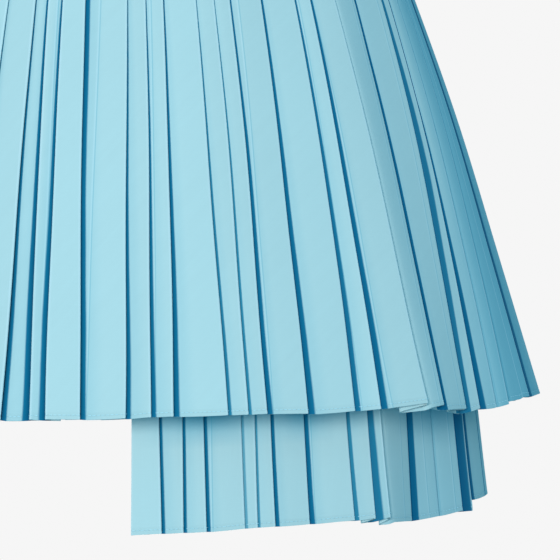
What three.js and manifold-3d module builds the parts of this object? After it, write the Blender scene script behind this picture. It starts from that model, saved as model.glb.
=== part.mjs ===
// A pleated mini skirt with a longer half under-tier, worn and hollow.
// Millimetres, +Z up, +X to the viewer's right; the front faces -Y.
// The origin is the centre of the waistband, where the wearer's waist holds the skirt.
import * as THREE from "three";
import { mergeVertices } from "three/addons/utils/BufferGeometryUtils.js";
import Module from "manifold-3d";

const wasm = await Module();
wasm.setup();
const MERGE_WITHIN = 1e-4;

// Cloth and seams
const CLOTH = 1; // thickness of a cloth wall
const SEAM_GAP = 0.3; // clearance between pieces that are sewn together
const LAYER_WAIST = 1.5; // distance between the layers of a pleat, pressed flat at the waist
const LAYER_HEM = 2.3; // and at the hem, where the pleats spring open
const UNDERLAY = 0.5; // share of a face's width that its fold turns back underneath
const UNDERLAY_SHARED = 0.38; // the same, where a box pleat turns back at both edges
const MITRE_LIMIT = 0.5; // keeps the wall's thickness at its sharpest turns

// Waistband: a wedge in section, because the pleats and both tiers end against its lower edge
const BAND_HEIGHT = 32;
const BAND_PROUD = 1.2; // how far it stands outside the pleats
const BAND_TOP_THICKNESS = 4;
const BAND_FOOT_THICKNESS = 12.4;
const BAND_STEPS = 72;
const BAND_SLIT = 1.6; // opening at the left side, where the zip closes it
const BAND_TOP_RING = { halfWidth: 126, halfDepth: 94.5 };
const CLOTH_TOP = -BAND_HEIGHT / 2 - SEAM_GAP; // level where both tiers begin

// Zip in the left side seam
const ZIP_TAPE = { width: 22, thickness: 1, length: 150, insetTop: 6.8, insetFoot: 7.8, steps: 8 };
const SLIDER = { width: 6.4, height: 10, thickness: 2.2, corner: 2.4, below: 8 };
const SLIDER_FACE = SEAM_GAP + SLIDER.thickness;
const BAIL = { width: 1.6, foot: 1.2, reach: 3.4, clear: 2, thickness: 0.8, corner: 0.3, sunk: 0.4 };
const PULL = { width: 5.6, thickness: 1, length: 19, bar: 0.5, corner: 2 };
const EYE = { width: 2.8, end: 4.6, corner: 0.4 };
const CORNER_SEGMENTS = 3;

// Outlines: half width and half depth of the ring at each drop below the waistband
const UPPER_OUTLINE = [
  { drop: 0, halfWidth: 130, halfDepth: 97.5 },
  { drop: 28, halfWidth: 145, halfDepth: 108 },
  { drop: 58, halfWidth: 160, halfDepth: 118.5 },
  { drop: 125, halfWidth: 186, halfDepth: 136 },
  { drop: 200, halfWidth: 213, halfDepth: 155 },
  { drop: 290, halfWidth: 241, halfDepth: 174.5 },
  { drop: 380, halfWidth: 268.5, halfDepth: 193.5 },
];
const LOWER_OUTLINE = [
  { drop: 0, halfWidth: 123.6, halfDepth: 91.2 },
  { drop: 30, halfWidth: 137, halfDepth: 100.8 },
  { drop: 62, halfWidth: 151, halfDepth: 110.5 },
  { drop: 122, halfWidth: 173.7, halfDepth: 126.2 },
  { drop: 185, halfWidth: 193, halfDepth: 139.5 },
  { drop: 290, halfWidth: 214, halfDepth: 154 },
  { drop: 449, halfWidth: 234, halfDepth: 168.5 },
];
const HIP_DROP = 125; // the level of the "hip" column in the pleat tables

// Largest soft folds: outward reach at the hem, of a hump centred at an angle from centre front
const SOFT_FOLDS = [
  { angle: 55, spread: 9, reach: -5 },
  { angle: -46, spread: 10, reach: 7 },
  { angle: -64, spread: 8, reach: -6 },
  { angle: 138, spread: 11, reach: 7 },
  { angle: 163, spread: 9, reach: -5 },
  { angle: -126, spread: 12, reach: 6 },
];
const FOLD_START = 60; // drop where the soft folds begin

// Corner where the cloth turns from the front to the side: how far it stands out at the hem,
// and how many degrees before and after it the cloth starts to turn
const UPPER_CORNER = { angle: 41.7, before: 13, after: 7, reach: 10 };
const LOWER_CORNER = { angle: 41.8, before: 13, after: 7, reach: 9 };
const CORNER_POWER = 0.7; // the corner shows early below the waist

// Hem: height of the cut edge above its level, at angles from centre front
const UPPER_LIFTS = [
  { angle: -90, lift: 1 },
  { angle: -65, lift: 0 },
  { angle: -40, lift: 3 },
  { angle: -16, lift: 1.2 },
  { angle: 13, lift: 4.2 },
  { angle: 24, lift: 3.5 },
  { angle: 34, lift: 4.6 },
  { angle: 41.9, lift: 8 },
  { angle: 45.3, lift: 5 },
  { angle: 52.4, lift: 0 },
  { angle: 60, lift: -1.2 },
  { angle: 64, lift: -0.1 },
  { angle: 69.4, lift: 1.2 },
  { angle: 69.9, lift: 2.4 },
  { angle: 72, lift: 2.6 },
  { angle: 83, lift: 0.4 },
  { angle: 128, lift: 3 },
  { angle: 160, lift: 0 },
  { angle: 200, lift: 2 },
  { angle: 235, lift: 0 },
  { angle: 270, lift: 1 },
];
const LOWER_LIFTS = [
  { angle: -90, lift: -2 },
  { angle: 0, lift: -2 },
  { angle: 10, lift: -0.2 },
  { angle: 26, lift: 2 },
  { angle: 35, lift: 2.9 },
  { angle: 42.8, lift: 4.6 },
  { angle: 49.8, lift: -2 },
  { angle: 65.3, lift: -0.5 },
  { angle: 69.9, lift: -2 },
  { angle: 70.2, lift: 4.5 },
  { angle: 80, lift: 4 },
  { angle: 120, lift: 2 },
  { angle: 150, lift: 0 },
  { angle: 270, lift: 0 },
];
const LIFT_POWER = 4; // the cloth above the hem follows its lift less and less

// Pleats, one row for each fold edge, going round to the viewer's right.
// hip, hem: width of the face before the fold edge, at the hip and at the hem
// lap: 1 where the fold edge lies over the next face, -1 where it lies over this one
// open: how much further than the others its layers stand apart at the hem
const FRONT_START = { hip: -56.7, hem: -77.5, lap: 1, open: 1 }; // first shown edge, from centre front
const FRONT_PLEATS = [
  { hip: 9.3, hem: 18.1, lap: -1, open: 1.1 },
  { hip: 8.4, hem: 10.8, lap: -1, open: 1.1 },
  { hip: 12.7, hem: 19.8, lap: 1, open: 1 },
  { hip: 25.9, hem: 25.5, lap: 1, open: 1 },
  { hip: 10.7, hem: 16.4, lap: 1, open: 0.9 },
  { hip: 10.4, hem: 14, lap: 1, open: 1 },
  { hip: 20.5, hem: 31.4, lap: 1, open: 0.9 },
  { hip: 11, hem: 13.4, lap: 1, open: 0.9 },
  { hip: 9.8, hem: 11.9, lap: 1, open: 1 },
  { hip: 20.4, hem: 24.5, lap: 1, open: 1 },
  { hip: 21.7, hem: 31.4, lap: 1, open: 0.9 },
  { hip: 10.5, hem: 15.2, lap: 1, open: 1 },
  { hip: 17, hem: 31.4, lap: 1, open: 1.2 },
  { hip: 20.3, hem: 16.1, lap: 1, open: 1.1 },
  { hip: 26, hem: 28.4, lap: 1, open: 1.3 },
  { hip: 7.9, hem: 13.6, lap: 1, open: 1.15 },
  { hip: 10.3, hem: 17, lap: 1, open: 1 },
  { hip: 13.8, hem: 12.6, lap: 1, open: 1 },
  { hip: 12.3, hem: 29.5, lap: 1, open: 1.5 },
];
const LOWER_START = { hip: 1.5, hem: 2, lap: 0, open: 1 }; // free front edge of the under-tier
const LOWER_PLEATS = [
  { hip: 13.2, hem: 16.8, lap: 1, open: 1 },
  { hip: 9.6, hem: 14.6, lap: 1, open: 0.9 },
  { hip: 9.6, hem: 13.4, lap: 1, open: 1 },
  { hip: 17.5, hem: 23.4, lap: 1, open: 0.9 },
  { hip: 8, hem: 8.4, lap: 1, open: 0.9 },
  { hip: 8, hem: 11.2, lap: 1, open: 0.9 },
  { hip: 16.4, hem: 22.8, lap: 1, open: 1 },
  { hip: 20.5, hem: 27.4, lap: 1, open: 1 },
  { hip: 10.4, hem: 15.2, lap: 1, open: 1 },
  { hip: 8, hem: 8.4, lap: 1, open: 0.9 },
  { hip: 31.3, hem: 28.7, lap: 1, open: 1.2 },
  { hip: 8.7, hem: 28.7, lap: 1, open: 0.9 },
  { hip: 19.2, hem: 22.6, lap: 1, open: 1.4 },
  { hip: 8.1, hem: 14.4, lap: 1, open: 1.1 },
];
// What isn't shown repeats this rhythm of wide and narrow faces, stretched to fill its place
const RHYTHM = [30, 14, 15, 27, 32, 16, 14, 34, 15, 25, 13, 30, 21];
const HIDDEN = { upperLeft: 13, upperRight: 2, upperBack: 32, lowerRight: 3, lowerBack: 14 };

// Side seams, in degrees from centre front; the left one closes the round of the upper tier
const [leftSide, rightSide, leftSideAgain] = [-90, 90, 270];

const rad = THREE.MathUtils.degToRad;
const lerp = THREE.MathUtils.lerp;

// Degrees from an angle in radians to one in degrees, from -180 to 180
function degreesFrom(centre, angle) {
  return THREE.MathUtils.euclideanModulo(THREE.MathUtils.radToDeg(angle) - centre + 180, 360) - 180;
}

// A bell of height 1 at its centre, over degrees
function bell(angle, row) {
  return Math.exp(-((degreesFrom(row.angle, angle) / row.spread) ** 2));
}

// A corner of height 1 at its centre, with even slopes before and after it
function tent(angle, row) {
  const away = degreesFrom(row.angle, angle);
  return Math.max(0, 1 - (away < 0 ? -away / row.before : away / row.after));
}

// A value from a table, between the rows on each side of the place where the column has the given value
function between(rows, column, at, wanted) {
  const next = Math.max(1, rows.findIndex((row) => row[column] >= at));
  const [low, high] = [rows[next - 1], rows[next]];
  return lerp(low[wanted], high[wanted], (at - low[column]) / (high[column] - low[column]));
}

// Half width and half depth of the ring at a drop
function ringAt(outline, drop) {
  const value = (wanted) => between(outline, "drop", drop, wanted);
  return { halfWidth: value("halfWidth"), halfDepth: value("halfDepth") };
}

// A point seen from above, moved outwards from the ring at an angle from centre front
function besideRing(ring, angle, out) {
  const outward = new THREE.Vector2(Math.sin(angle) * ring.halfDepth, -Math.cos(angle) * ring.halfWidth);
  const point = new THREE.Vector2(Math.sin(angle) * ring.halfWidth, -Math.cos(angle) * ring.halfDepth);
  return point.addScaledVector(outward.normalize(), out);
}

// The angle that lies a given distance along the ring from centre front
function angleAtDistance(ring, distance) {
  const step = rad(0.1);
  let [angle, walked] = [0, 0];
  while (walked < Math.abs(distance)) {
    const middle = angle + step / 2;
    walked += step * Math.hypot(ring.halfWidth * Math.cos(middle), ring.halfDepth * Math.sin(middle));
    angle += step;
  }
  return Math.sign(distance) * angle;
}

// Fold edges of a stretch of pleats, from its first edge on: their angles at the hip and at the hem
function foldEdges(outline, start, pleats) {
  const hip = ringAt(outline, HIP_DROP);
  const hem = outline.at(-1);
  let [atHip, atHem] = [0, 0];
  return [start, ...pleats].map((pleat) => {
    atHip += pleat.hip;
    atHem += pleat.hem;
    return { ...pleat, hip: angleAtDistance(hip, atHip), hem: angleAtDistance(hem, atHem) };
  });
}

// A fold edge that keeps one angle from the waist to the hem
function straightEdge(degrees, lap, seam) {
  return { hip: rad(degrees), hem: rad(degrees), lap, open: 1, seam };
}

// Fold edges that cut the hidden stretch between two edges into a number of faces, in the rhythm
function hiddenEdges(from, to, faces) {
  const widths = Array.from({ length: faces }, (_, k) => RHYTHM[k % RHYTHM.length]);
  const total = widths.reduce((sum, width) => sum + width, 0);
  let walked = 0;
  return widths.slice(0, -1).map((width) => {
    walked += width;
    const share = walked / total;
    return { hip: lerp(from.hip, to.hip, share), hem: lerp(from.hem, to.hem, share), lap: 1, open: 1 };
  });
}

// A tier of the skirt, from the waistband to its hem
class Tier {
  constructor(outline, corner, lifts) {
    this.outline = outline;
    this.length = outline.at(-1).drop;
    this.corner = corner;
    this.lifts = lifts;
  }

  // A point of the tier's surface seen from above, moved inwards by depth
  point(angle, drop, depth) {
    const weight = Math.max(0, (drop - FOLD_START) / (this.length - FOLD_START));
    const fold = weight * SOFT_FOLDS.reduce((sum, row) => sum + row.reach * bell(angle, row), 0);
    const turn = (drop / this.length) ** CORNER_POWER * this.corner.reach * tent(angle, this.corner);
    return besideRing(ringAt(this.outline, drop), angle, fold + turn - depth);
  }

  // Where a fold edge lies at a drop: its crest, and the deep layer right under the crest.
  // A free edge, with lap 0, is one plain point.
  place(edge, drop) {
    const share = THREE.MathUtils.clamp((drop - HIP_DROP) / (this.length - HIP_DROP), 0, 1);
    const angle = lerp(edge.hip, edge.hem, share);
    const layer = lerp(LAYER_WAIST, LAYER_HEM * edge.open, drop / this.length);
    const crest = this.point(angle, drop, edge.lap === 0 ? layer : 0);
    return { ...edge, layer, crest, low: edge.lap === 0 ? crest : this.point(angle, drop, 2 * layer) };
  }

  // The middle line of a panel's wall at one drop, seen from above
  section(panel, drop) {
    const placed = [panel.before, ...panel.edges, null].map((edge) => edge && this.place(edge, drop));
    return panel.edges.flatMap((_, k) => foldLine(placed[k + 1], placed[k], placed[k + 2]));
  }

  // How far the hem is lifted at an angle. Only the lower part of the cloth follows it.
  lift(angle, drop) {
    const fromLeftSide = degreesFrom(leftSide + 180, angle) + 180;
    return (drop / this.length) ** LIFT_POWER * between(this.lifts, "angle", fromLeftSide + leftSide, "lift");
  }
}

// The line of the cloth at one fold edge: over the crest, back under its own face, then forward
// again one layer deeper. A seam is hidden half way along that deepest layer.
function foldLine(edge, before, after) {
  if (edge.lap === 0) {
    return [edge.crest];
  }
  const facing = edge.lap === 1 ? before : after;
  const boxed = facing.lap === -edge.lap;
  const back = (facing.lap === edge.lap ? facing.low : facing.crest).clone().sub(edge.crest);
  const inward = new THREE.Vector2(back.y, -back.x).setLength(edge.layer).multiplyScalar(edge.lap);
  const turned = edge.crest.clone().addScaledVector(back, boxed ? UNDERLAY_SHARED : UNDERLAY);
  const folds = [
    edge.crest,
    edge.crest.clone().add(inward),
    turned.clone().add(inward),
    turned.clone().addScaledVector(inward, 2),
    edge.low,
  ];
  if (!edge.seam) {
    return edge.lap === 1 ? folds : folds.reverse();
  }
  const halfGap = edge.low.clone().sub(folds[3]).setLength(SEAM_GAP / 2);
  const seam = folds[3].clone().lerp(edge.low, 0.5);
  return edge.seam === "start" ? [seam.add(halfGap), edge.low] : [...folds.slice(0, 4), seam.sub(halfGap)];
}

// Gives a line of cloth its thickness: the points of a closed outline, along one side and back
function thicken(line, half) {
  const offsets = line.map((point, k) => {
    const into = point.clone().sub(line[k - 1] ?? point);
    const away = (line[k + 1] ?? point).clone().sub(point);
    const [a, b] = [k > 0 ? into : away, k < line.length - 1 ? away : into];
    const [na, nb] = [a, b].map((d) => new THREE.Vector2(d.y, -d.x).normalize());
    const mitre = na.clone().add(nb).normalize();
    return mitre.multiplyScalar(half / Math.max(MITRE_LIMIT, mitre.dot(na)));
  });
  const outer = line.map((point, k) => point.clone().add(offsets[k]));
  const inner = line.map((point, k) => point.clone().sub(offsets[k]));
  return [...outer, ...inner.reverse()];
}

// A closed wall through rings of equal length, from the top one to the lowest.
// Each ring runs along the outer side and back along the inner side. Both sides are cut into
// triangles along the same diagonals, so that they can't meet where the wall twists.
function loft(rings) {
  const count = rings[0].length;
  const faces = [];
  const quad = (a, b, c, d) => faces.push(a, b, c, a, c, d);
  for (let level = 0; level < rings.length - 1; level += 1) {
    for (let k = 0; k < count; k += 1) {
      const next = (k + 1) % count;
      const [top, under] = [level * count, (level + 1) * count];
      const corners = [top + k, under + k, under + next, top + next];
      quad(...(k < count / 2 ? corners : [...corners.slice(1), corners[0]]));
    }
  }
  const foot = (rings.length - 1) * count;
  for (let k = 0; k < count / 2 - 1; k += 1) {
    const [a, b, c, d] = [k, k + 1, count - 2 - k, count - 1 - k];
    quad(a, b, c, d);
    quad(foot + a, foot + d, foot + c, foot + b);
  }
  const geometry = new THREE.BufferGeometry();
  const positions = rings.flat().flatMap(({ x, y, z }) => [x, y, z]);
  geometry.setAttribute("position", new THREE.Float32BufferAttribute(positions, 3));
  geometry.setIndex(faces);
  return geometry;
}

// A pleated panel: its wall at each row of the tier's outline
function pleatedPanel(tier, panel) {
  const hemRing = tier.outline.at(-1);
  return loft(
    tier.outline.map(({ drop }) =>
      thicken(tier.section(panel, drop), CLOTH / 2).map(({ x, y }) => {
        const angle = Math.atan2(x / hemRing.halfWidth, -y / hemRing.halfDepth);
        return new THREE.Vector3(x, y, CLOTH_TOP - drop + tier.lift(angle, drop));
      })
    )
  );
}

// The waistband, open at the left side where the zip closes it
function waistband() {
  const levels = [
    { z: BAND_HEIGHT / 2, ring: BAND_TOP_RING, thickness: BAND_TOP_THICKNESS },
    { z: -BAND_HEIGHT / 2, ring: UPPER_OUTLINE[0], thickness: BAND_FOOT_THICKNESS },
  ];
  return loft(
    levels.map(({ z, ring, thickness }) => {
      const end = rad(90) - BAND_SLIT / 2 / ring.halfDepth;
      const steps = Array.from({ length: BAND_STEPS + 1 }, (_, k) => k / BAND_STEPS);
      const angles = steps.map((share) => lerp(-end, rad(180) + end, share));
      const line = (out) => angles.map((angle) => besideRing(ring, angle, out));
      const outline = [...line(BAND_PROUD), ...line(BAND_PROUD - thickness).reverse()];
      return outline.map(({ x, y }) => new THREE.Vector3(x, y, z));
    })
  );
}

// The zip's tape, a strip inside the left side seam that follows the outline
function zipTape() {
  const half = ZIP_TAPE.width / 2;
  const rings = Array.from({ length: ZIP_TAPE.steps + 1 }, (_, k) => {
    const drop = (ZIP_TAPE.length * k) / ZIP_TAPE.steps;
    const inset = lerp(ZIP_TAPE.insetTop, ZIP_TAPE.insetFoot, k / ZIP_TAPE.steps);
    const x = inset - ringAt(UPPER_OUTLINE, drop).halfWidth;
    const line = [new THREE.Vector2(x, half), new THREE.Vector2(x, -half)];
    const z = CLOTH_TOP - drop;
    return thicken(line, ZIP_TAPE.thickness / 2).map((point) => new THREE.Vector3(point.x, point.y, z));
  });
  return loft(rings);
}

// A plate in the zip's own frame: x along the waist, y up, z out of the band
function plate(shape, from, to) {
  const settings = { depth: to - from, bevelEnabled: false, curveSegments: CORNER_SEGMENTS };
  return new THREE.ExtrudeGeometry(shape, settings).translate(0, 0, from);
}

function roundedShape(left, bottom, right, top, corner) {
  const quarter = Math.PI / 2;
  const shape = new THREE.Shape();
  shape.moveTo(left + corner, bottom);
  shape.absarc(right - corner, bottom + corner, corner, -quarter, 0);
  shape.absarc(right - corner, top - corner, corner, 0, quarter);
  shape.absarc(left + corner, top - corner, corner, quarter, 2 * quarter);
  shape.absarc(left + corner, bottom + corner, corner, 2 * quarter, 3 * quarter);
  shape.closePath();
  return shape;
}

// A closed solid for the boolean library, its shared vertices merged
function solid(geometry) {
  geometry.deleteAttribute("normal");
  geometry.deleteAttribute("uv");
  const merged = mergeVertices(geometry, MERGE_WITHIN);
  return new wasm.Manifold(
    new wasm.Mesh({
      numProp: 3,
      vertProperties: new Float32Array(merged.attributes.position.array),
      triVerts: new Uint32Array(merged.index.array),
    })
  );
}

function fromSolid(joined) {
  const mesh = joined.getMesh();
  const geometry = new THREE.BufferGeometry();
  geometry.setAttribute("position", new THREE.BufferAttribute(mesh.vertProperties, 3));
  geometry.setIndex(new THREE.BufferAttribute(mesh.triVerts, 1));
  return geometry;
}

// The slider: its body lies on the band, and a bail stands on it with room under it for the pull
function sliderWithBail() {
  const [half, tall] = [SLIDER.width / 2, SLIDER.height / 2];
  const body = plate(roundedShape(-half, -tall, half, tall, SLIDER.corner), SEAM_GAP, SLIDER_FACE);
  const bridge = SLIDER_FACE + BAIL.clear;
  const bar = roundedShape(-BAIL.width / 2, -BAIL.reach, BAIL.width / 2, BAIL.reach, BAIL.corner);
  const across = plate(bar, bridge, bridge + BAIL.thickness);
  const foot = (bottom, top) => {
    const shape = roundedShape(-BAIL.width / 2, bottom, BAIL.width / 2, top, BAIL.corner);
    return plate(shape, SLIDER_FACE - BAIL.sunk, bridge + BAIL.sunk);
  };
  const inside = BAIL.reach - BAIL.foot;
  return fromSolid(
    solid(body)
      .add(solid(across))
      .add(solid(foot(-BAIL.reach, -inside)))
      .add(solid(foot(inside, BAIL.reach)))
  );
}

// The pull tab, hanging from its bar under the bail, with an eye that goes round the bail
function pullTab() {
  const half = PULL.width / 2;
  const outline = roundedShape(-half, -PULL.length, half, PULL.bar, PULL.corner);
  outline.holes.push(roundedShape(-EYE.width / 2, -EYE.end, EYE.width / 2, -PULL.bar, EYE.corner));
  return plate(outline, -PULL.thickness / 2, PULL.thickness / 2);
}

// The full upper tier: all its fold edges, going round from the left side seam
const upper = new Tier(UPPER_OUTLINE, UPPER_CORNER, UPPER_LIFTS);
const shown = foldEdges(UPPER_OUTLINE, FRONT_START, FRONT_PLEATS);
const upperFront = [
  straightEdge(leftSide, 1, "start"),
  ...hiddenEdges(straightEdge(leftSide), shown[0], HIDDEN.upperLeft),
  ...shown,
  ...hiddenEdges(shown.at(-1), straightEdge(rightSide), HIDDEN.upperRight),
  straightEdge(rightSide, 1, "end"),
];
const upperBack = [
  straightEdge(rightSide, 1, "start"),
  ...hiddenEdges(straightEdge(rightSide), straightEdge(leftSideAgain), HIDDEN.upperBack),
  straightEdge(leftSideAgain, 1, "end"),
];
// The back's last fold edge, by the angle it has before the front's first one
const lastBack = upperBack.at(-2);
const beforeFront = { ...lastBack, hip: lastBack.hip - rad(360), hem: lastBack.hem - rad(360) };

// The under-tier: from its free edge at centre front, round the right side, to the one near centre back
const lower = new Tier(LOWER_OUTLINE, LOWER_CORNER, LOWER_LIFTS);
const freeBack = 178; // its free back edge, which the front one hides from the front
const shownLower = foldEdges(LOWER_OUTLINE, LOWER_START, LOWER_PLEATS);
const lowerFront = [
  ...shownLower,
  ...hiddenEdges(shownLower.at(-1), straightEdge(rightSide), HIDDEN.lowerRight),
  straightEdge(rightSide, 1, "end"),
];
const lowerBack = [
  straightEdge(rightSide, 1, "start"),
  ...hiddenEdges(straightEdge(rightSide), straightEdge(freeBack), HIDDEN.lowerBack),
  straightEdge(freeBack, 0),
];

const cloth = { color: 0xa6d8e8, roughness: 0.8, metalness: 0 };
const lining = { color: 0x8fcbe0, roughness: 0.85, metalness: 0 };
const metal = { color: 0x9fc9d8, roughness: 0.35, metalness: 0.6 };

function named(name, geometry, finish) {
  const material = new THREE.MeshStandardMaterial(finish);
  const mesh = new THREE.Mesh(geometry, material);
  mesh.name = name;
  return mesh;
}

// The zip's frame stands on the band's outer face at the left side, leaning with it
function zipFrame() {
  const foot = new THREE.Vector3(-UPPER_OUTLINE[0].halfWidth - BAND_PROUD, 0, -BAND_HEIGHT / 2);
  const top = new THREE.Vector3(-BAND_TOP_RING.halfWidth - BAND_PROUD, 0, BAND_HEIGHT / 2);
  const up = top.clone().sub(foot).normalize();
  const along = new THREE.Vector3(0, -1, 0);
  const frame = new THREE.Group();
  frame.quaternion.setFromRotationMatrix(new THREE.Matrix4().makeBasis(along, up, along.clone().cross(up)));
  frame.position.copy(top).addScaledVector(up, -SLIDER.below);
  const pull = named("zip_pull", pullTab(), metal);
  pull.position.z = SLIDER_FACE + BAIL.clear / 2;
  frame.add(named("zip_slider", sliderWithBail(), metal), pull);
  return frame;
}

const skirt = new THREE.Group();
skirt.add(
  named("upper_front", pleatedPanel(upper, { before: beforeFront, edges: upperFront }), cloth),
  named("upper_back", pleatedPanel(upper, { before: upperFront.at(-2), edges: upperBack }), cloth),
  named("lower_front", pleatedPanel(lower, { before: null, edges: lowerFront }), cloth),
  named("lower_back", pleatedPanel(lower, { before: lowerFront.at(-2), edges: lowerBack }), cloth),
  named("waistband", waistband(), cloth),
  named("zip_tape", zipTape(), lining),
  zipFrame()
);

export default skirt;
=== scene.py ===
"""A worn pleated mini skirt with a longer half under-tier, dressed for rendering.

Lengths are metres, +Z is up and the front faces -Y. The cloth is a thin shell worked out on grids.
Across, a grid follows the cloth over each pleat's face and back through its folds. Down, it follows
the drop below the waistband.
"""
import math
from collections import namedtuple

import bpy
import numpy as np
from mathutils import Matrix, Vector


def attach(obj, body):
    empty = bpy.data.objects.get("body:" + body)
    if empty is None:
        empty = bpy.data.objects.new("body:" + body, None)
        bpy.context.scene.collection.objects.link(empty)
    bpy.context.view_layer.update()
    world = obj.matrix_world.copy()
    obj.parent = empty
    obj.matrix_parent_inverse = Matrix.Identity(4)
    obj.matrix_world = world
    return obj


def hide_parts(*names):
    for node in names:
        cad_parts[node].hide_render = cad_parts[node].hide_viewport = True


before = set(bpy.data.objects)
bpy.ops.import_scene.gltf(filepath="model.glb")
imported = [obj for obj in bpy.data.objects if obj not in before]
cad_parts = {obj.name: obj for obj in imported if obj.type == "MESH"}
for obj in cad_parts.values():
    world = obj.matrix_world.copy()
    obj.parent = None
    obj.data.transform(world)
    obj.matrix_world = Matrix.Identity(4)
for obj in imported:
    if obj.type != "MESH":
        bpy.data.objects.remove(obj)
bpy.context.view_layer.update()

MM = 0.001
BODY = "skirt"
rng = np.random.default_rng(11)

# Cloth and folds, in metres
CLOTH = 0.45 * MM
LAYER_WAIST = 0.8 * MM
LAYER_HEM = 1.4 * MM
UNDERLAY = 0.5
UNDERLAY_SHARED = 0.38
FOLD_ROUNDNESS = 0.55
GROOVE_HEM = 1.3 * MM
GROOVE_MOST = 1.3
GROOVE_POWER = 1.2
TUCK = 5 * MM
SEAM_GAP = 0.3 * MM

# Climb of a face out of its crease: width, share of it at the waist, steepness, share of the depth, bow
RISE_WIDTH = 5.0 * MM
RISE_AT_WAIST = 0.25
RISE_STEEPNESS = 2.2
RISE_SHARE = 0.82
FACE_BOW = 0.25 * MM

# Sway of a fold edge on its way down, and its bob in and out: radians of each wave and its reach
SWAYS = [(5, 0.6 * MM), (13, 0.3 * MM)]
BOB = (4, 0.35 * MM)

# Painted shade band of a crease: its width at the hem, how it narrows upwards, and its least share of that
# width
SHADE_WIDTH = 3.3 * MM
SHADE_POWER = 1.2
SHADE_LEAST = 0.1
# Its most, at the waist and how much more at the hem: for a taper up to 1, and for one above 1
SHADE_MOST = (0.25, 3)
SHADE_MOST_LATE = (-0.8, 4)
PRESS_AT_WAIST = 0.5

# Waistband
BAND_HEIGHT = 32 * MM
BAND_PROUD = 1.2 * MM
BAND_SLIT = 1.6 * MM
BAND_WALL = 0.9 * MM
BAND_INNER_TOP = -2.8 * MM
BAND_INNER_FOOT = -11.2 * MM
BAND_STITCH = 2.2 * MM
BAND_STITCH_DENT = 0.2 * MM
BAND_PUFF = 0.25 * MM
BAND_RIPPLE = 0.12 * MM
BAND_RISE = np.array([0, 0.01, 0.04, 0.068, 0.1, 0.2, 0.4, 0.6, 0.8, 0.93, 1])
BAND_COLUMNS = 361
BAND_TOP_RING = np.array([126, 94.5]) * MM
BAND_LEAN = (0.1, 0.13)
CLOTH_TOP = -BAND_HEIGHT / 2 - SEAM_GAP

# Rows of an outline: drop below the waistband, half width and half depth of the ring there
UPPER_OUTLINE = np.array([
    (0, 130, 97.5),
    (28, 145, 108),
    (58, 160, 118.5),
    (125, 186, 136),
    (200, 213, 155),
    (290, 241, 174.5),
    (380, 268.5, 193.5),
]) * MM
LOWER_OUTLINE = np.array([
    (0, 123.6, 91.2),
    (30, 137, 100.8),
    (62, 151, 110.5),
    (122, 173.7, 126.2),
    (185, 193, 139.5),
    (290, 214, 154),
    (449, 234, 168.5),
]) * MM
HIP_DROP = 125 * MM
FOLD_START = 60 * MM

# Largest soft folds: angle from centre front and spread in degrees, reach at the hem in metres
SOFT_FOLDS = [
    (55, 9, -5 * MM),
    (-46, 10, 7 * MM),
    (-64, 8, -6 * MM),
    (138, 11, 7 * MM),
    (163, 9, -5 * MM),
    (-126, 12, 6 * MM),
]
# Corner where the cloth turns from the front to the side: angle, degrees before and after it, reach
UPPER_CORNER = (41.7, 13, 7, 10 * MM)
LOWER_CORNER = (41.8, 13, 7, 9 * MM)
CORNER_POWER = 0.7

# Height of the hem above its level, at angles from centre front: degrees and millimetres
UPPER_LIFTS = [
    (-90, 1), (-65, 0), (-40, 3), (-16, 1.2), (13, 4.2), (24, 3.5), (34, 4.6), (41.9, 8), (45.3, 5),
    (52.4, 0), (60, -1.2), (64, -0.1), (69.4, 1.2), (69.9, 2.4), (72, 2.6), (83, 0.4), (128, 3),
    (160, 0), (200, 2), (235, 0), (270, 1),
]
LOWER_LIFTS = [
    (-90, -2), (0, -2), (10, -0.2), (26, 2), (35, 2.9), (42.8, 4.6), (49.8, -2), (65.3, -0.5), (69.9, -2),
    (70.2, 4.5), (80, 4), (120, 2), (150, 0), (270, 0),
]
LIFT_POWER = 4

# Painted shadow under the upper hem: angle from centre front and spread in degrees, and strength
UNDER_HEM_SHADES = [(12, 8, 1), (28, 5, 0.9), (37, 2, 0.5), (62, 14, 0.7), (112, 12, 0.9), (152, 10, 0.8)]
UNDER_HEM_REACH = 24 * MM
UNDER_HEM_POWER = 1.2
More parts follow.
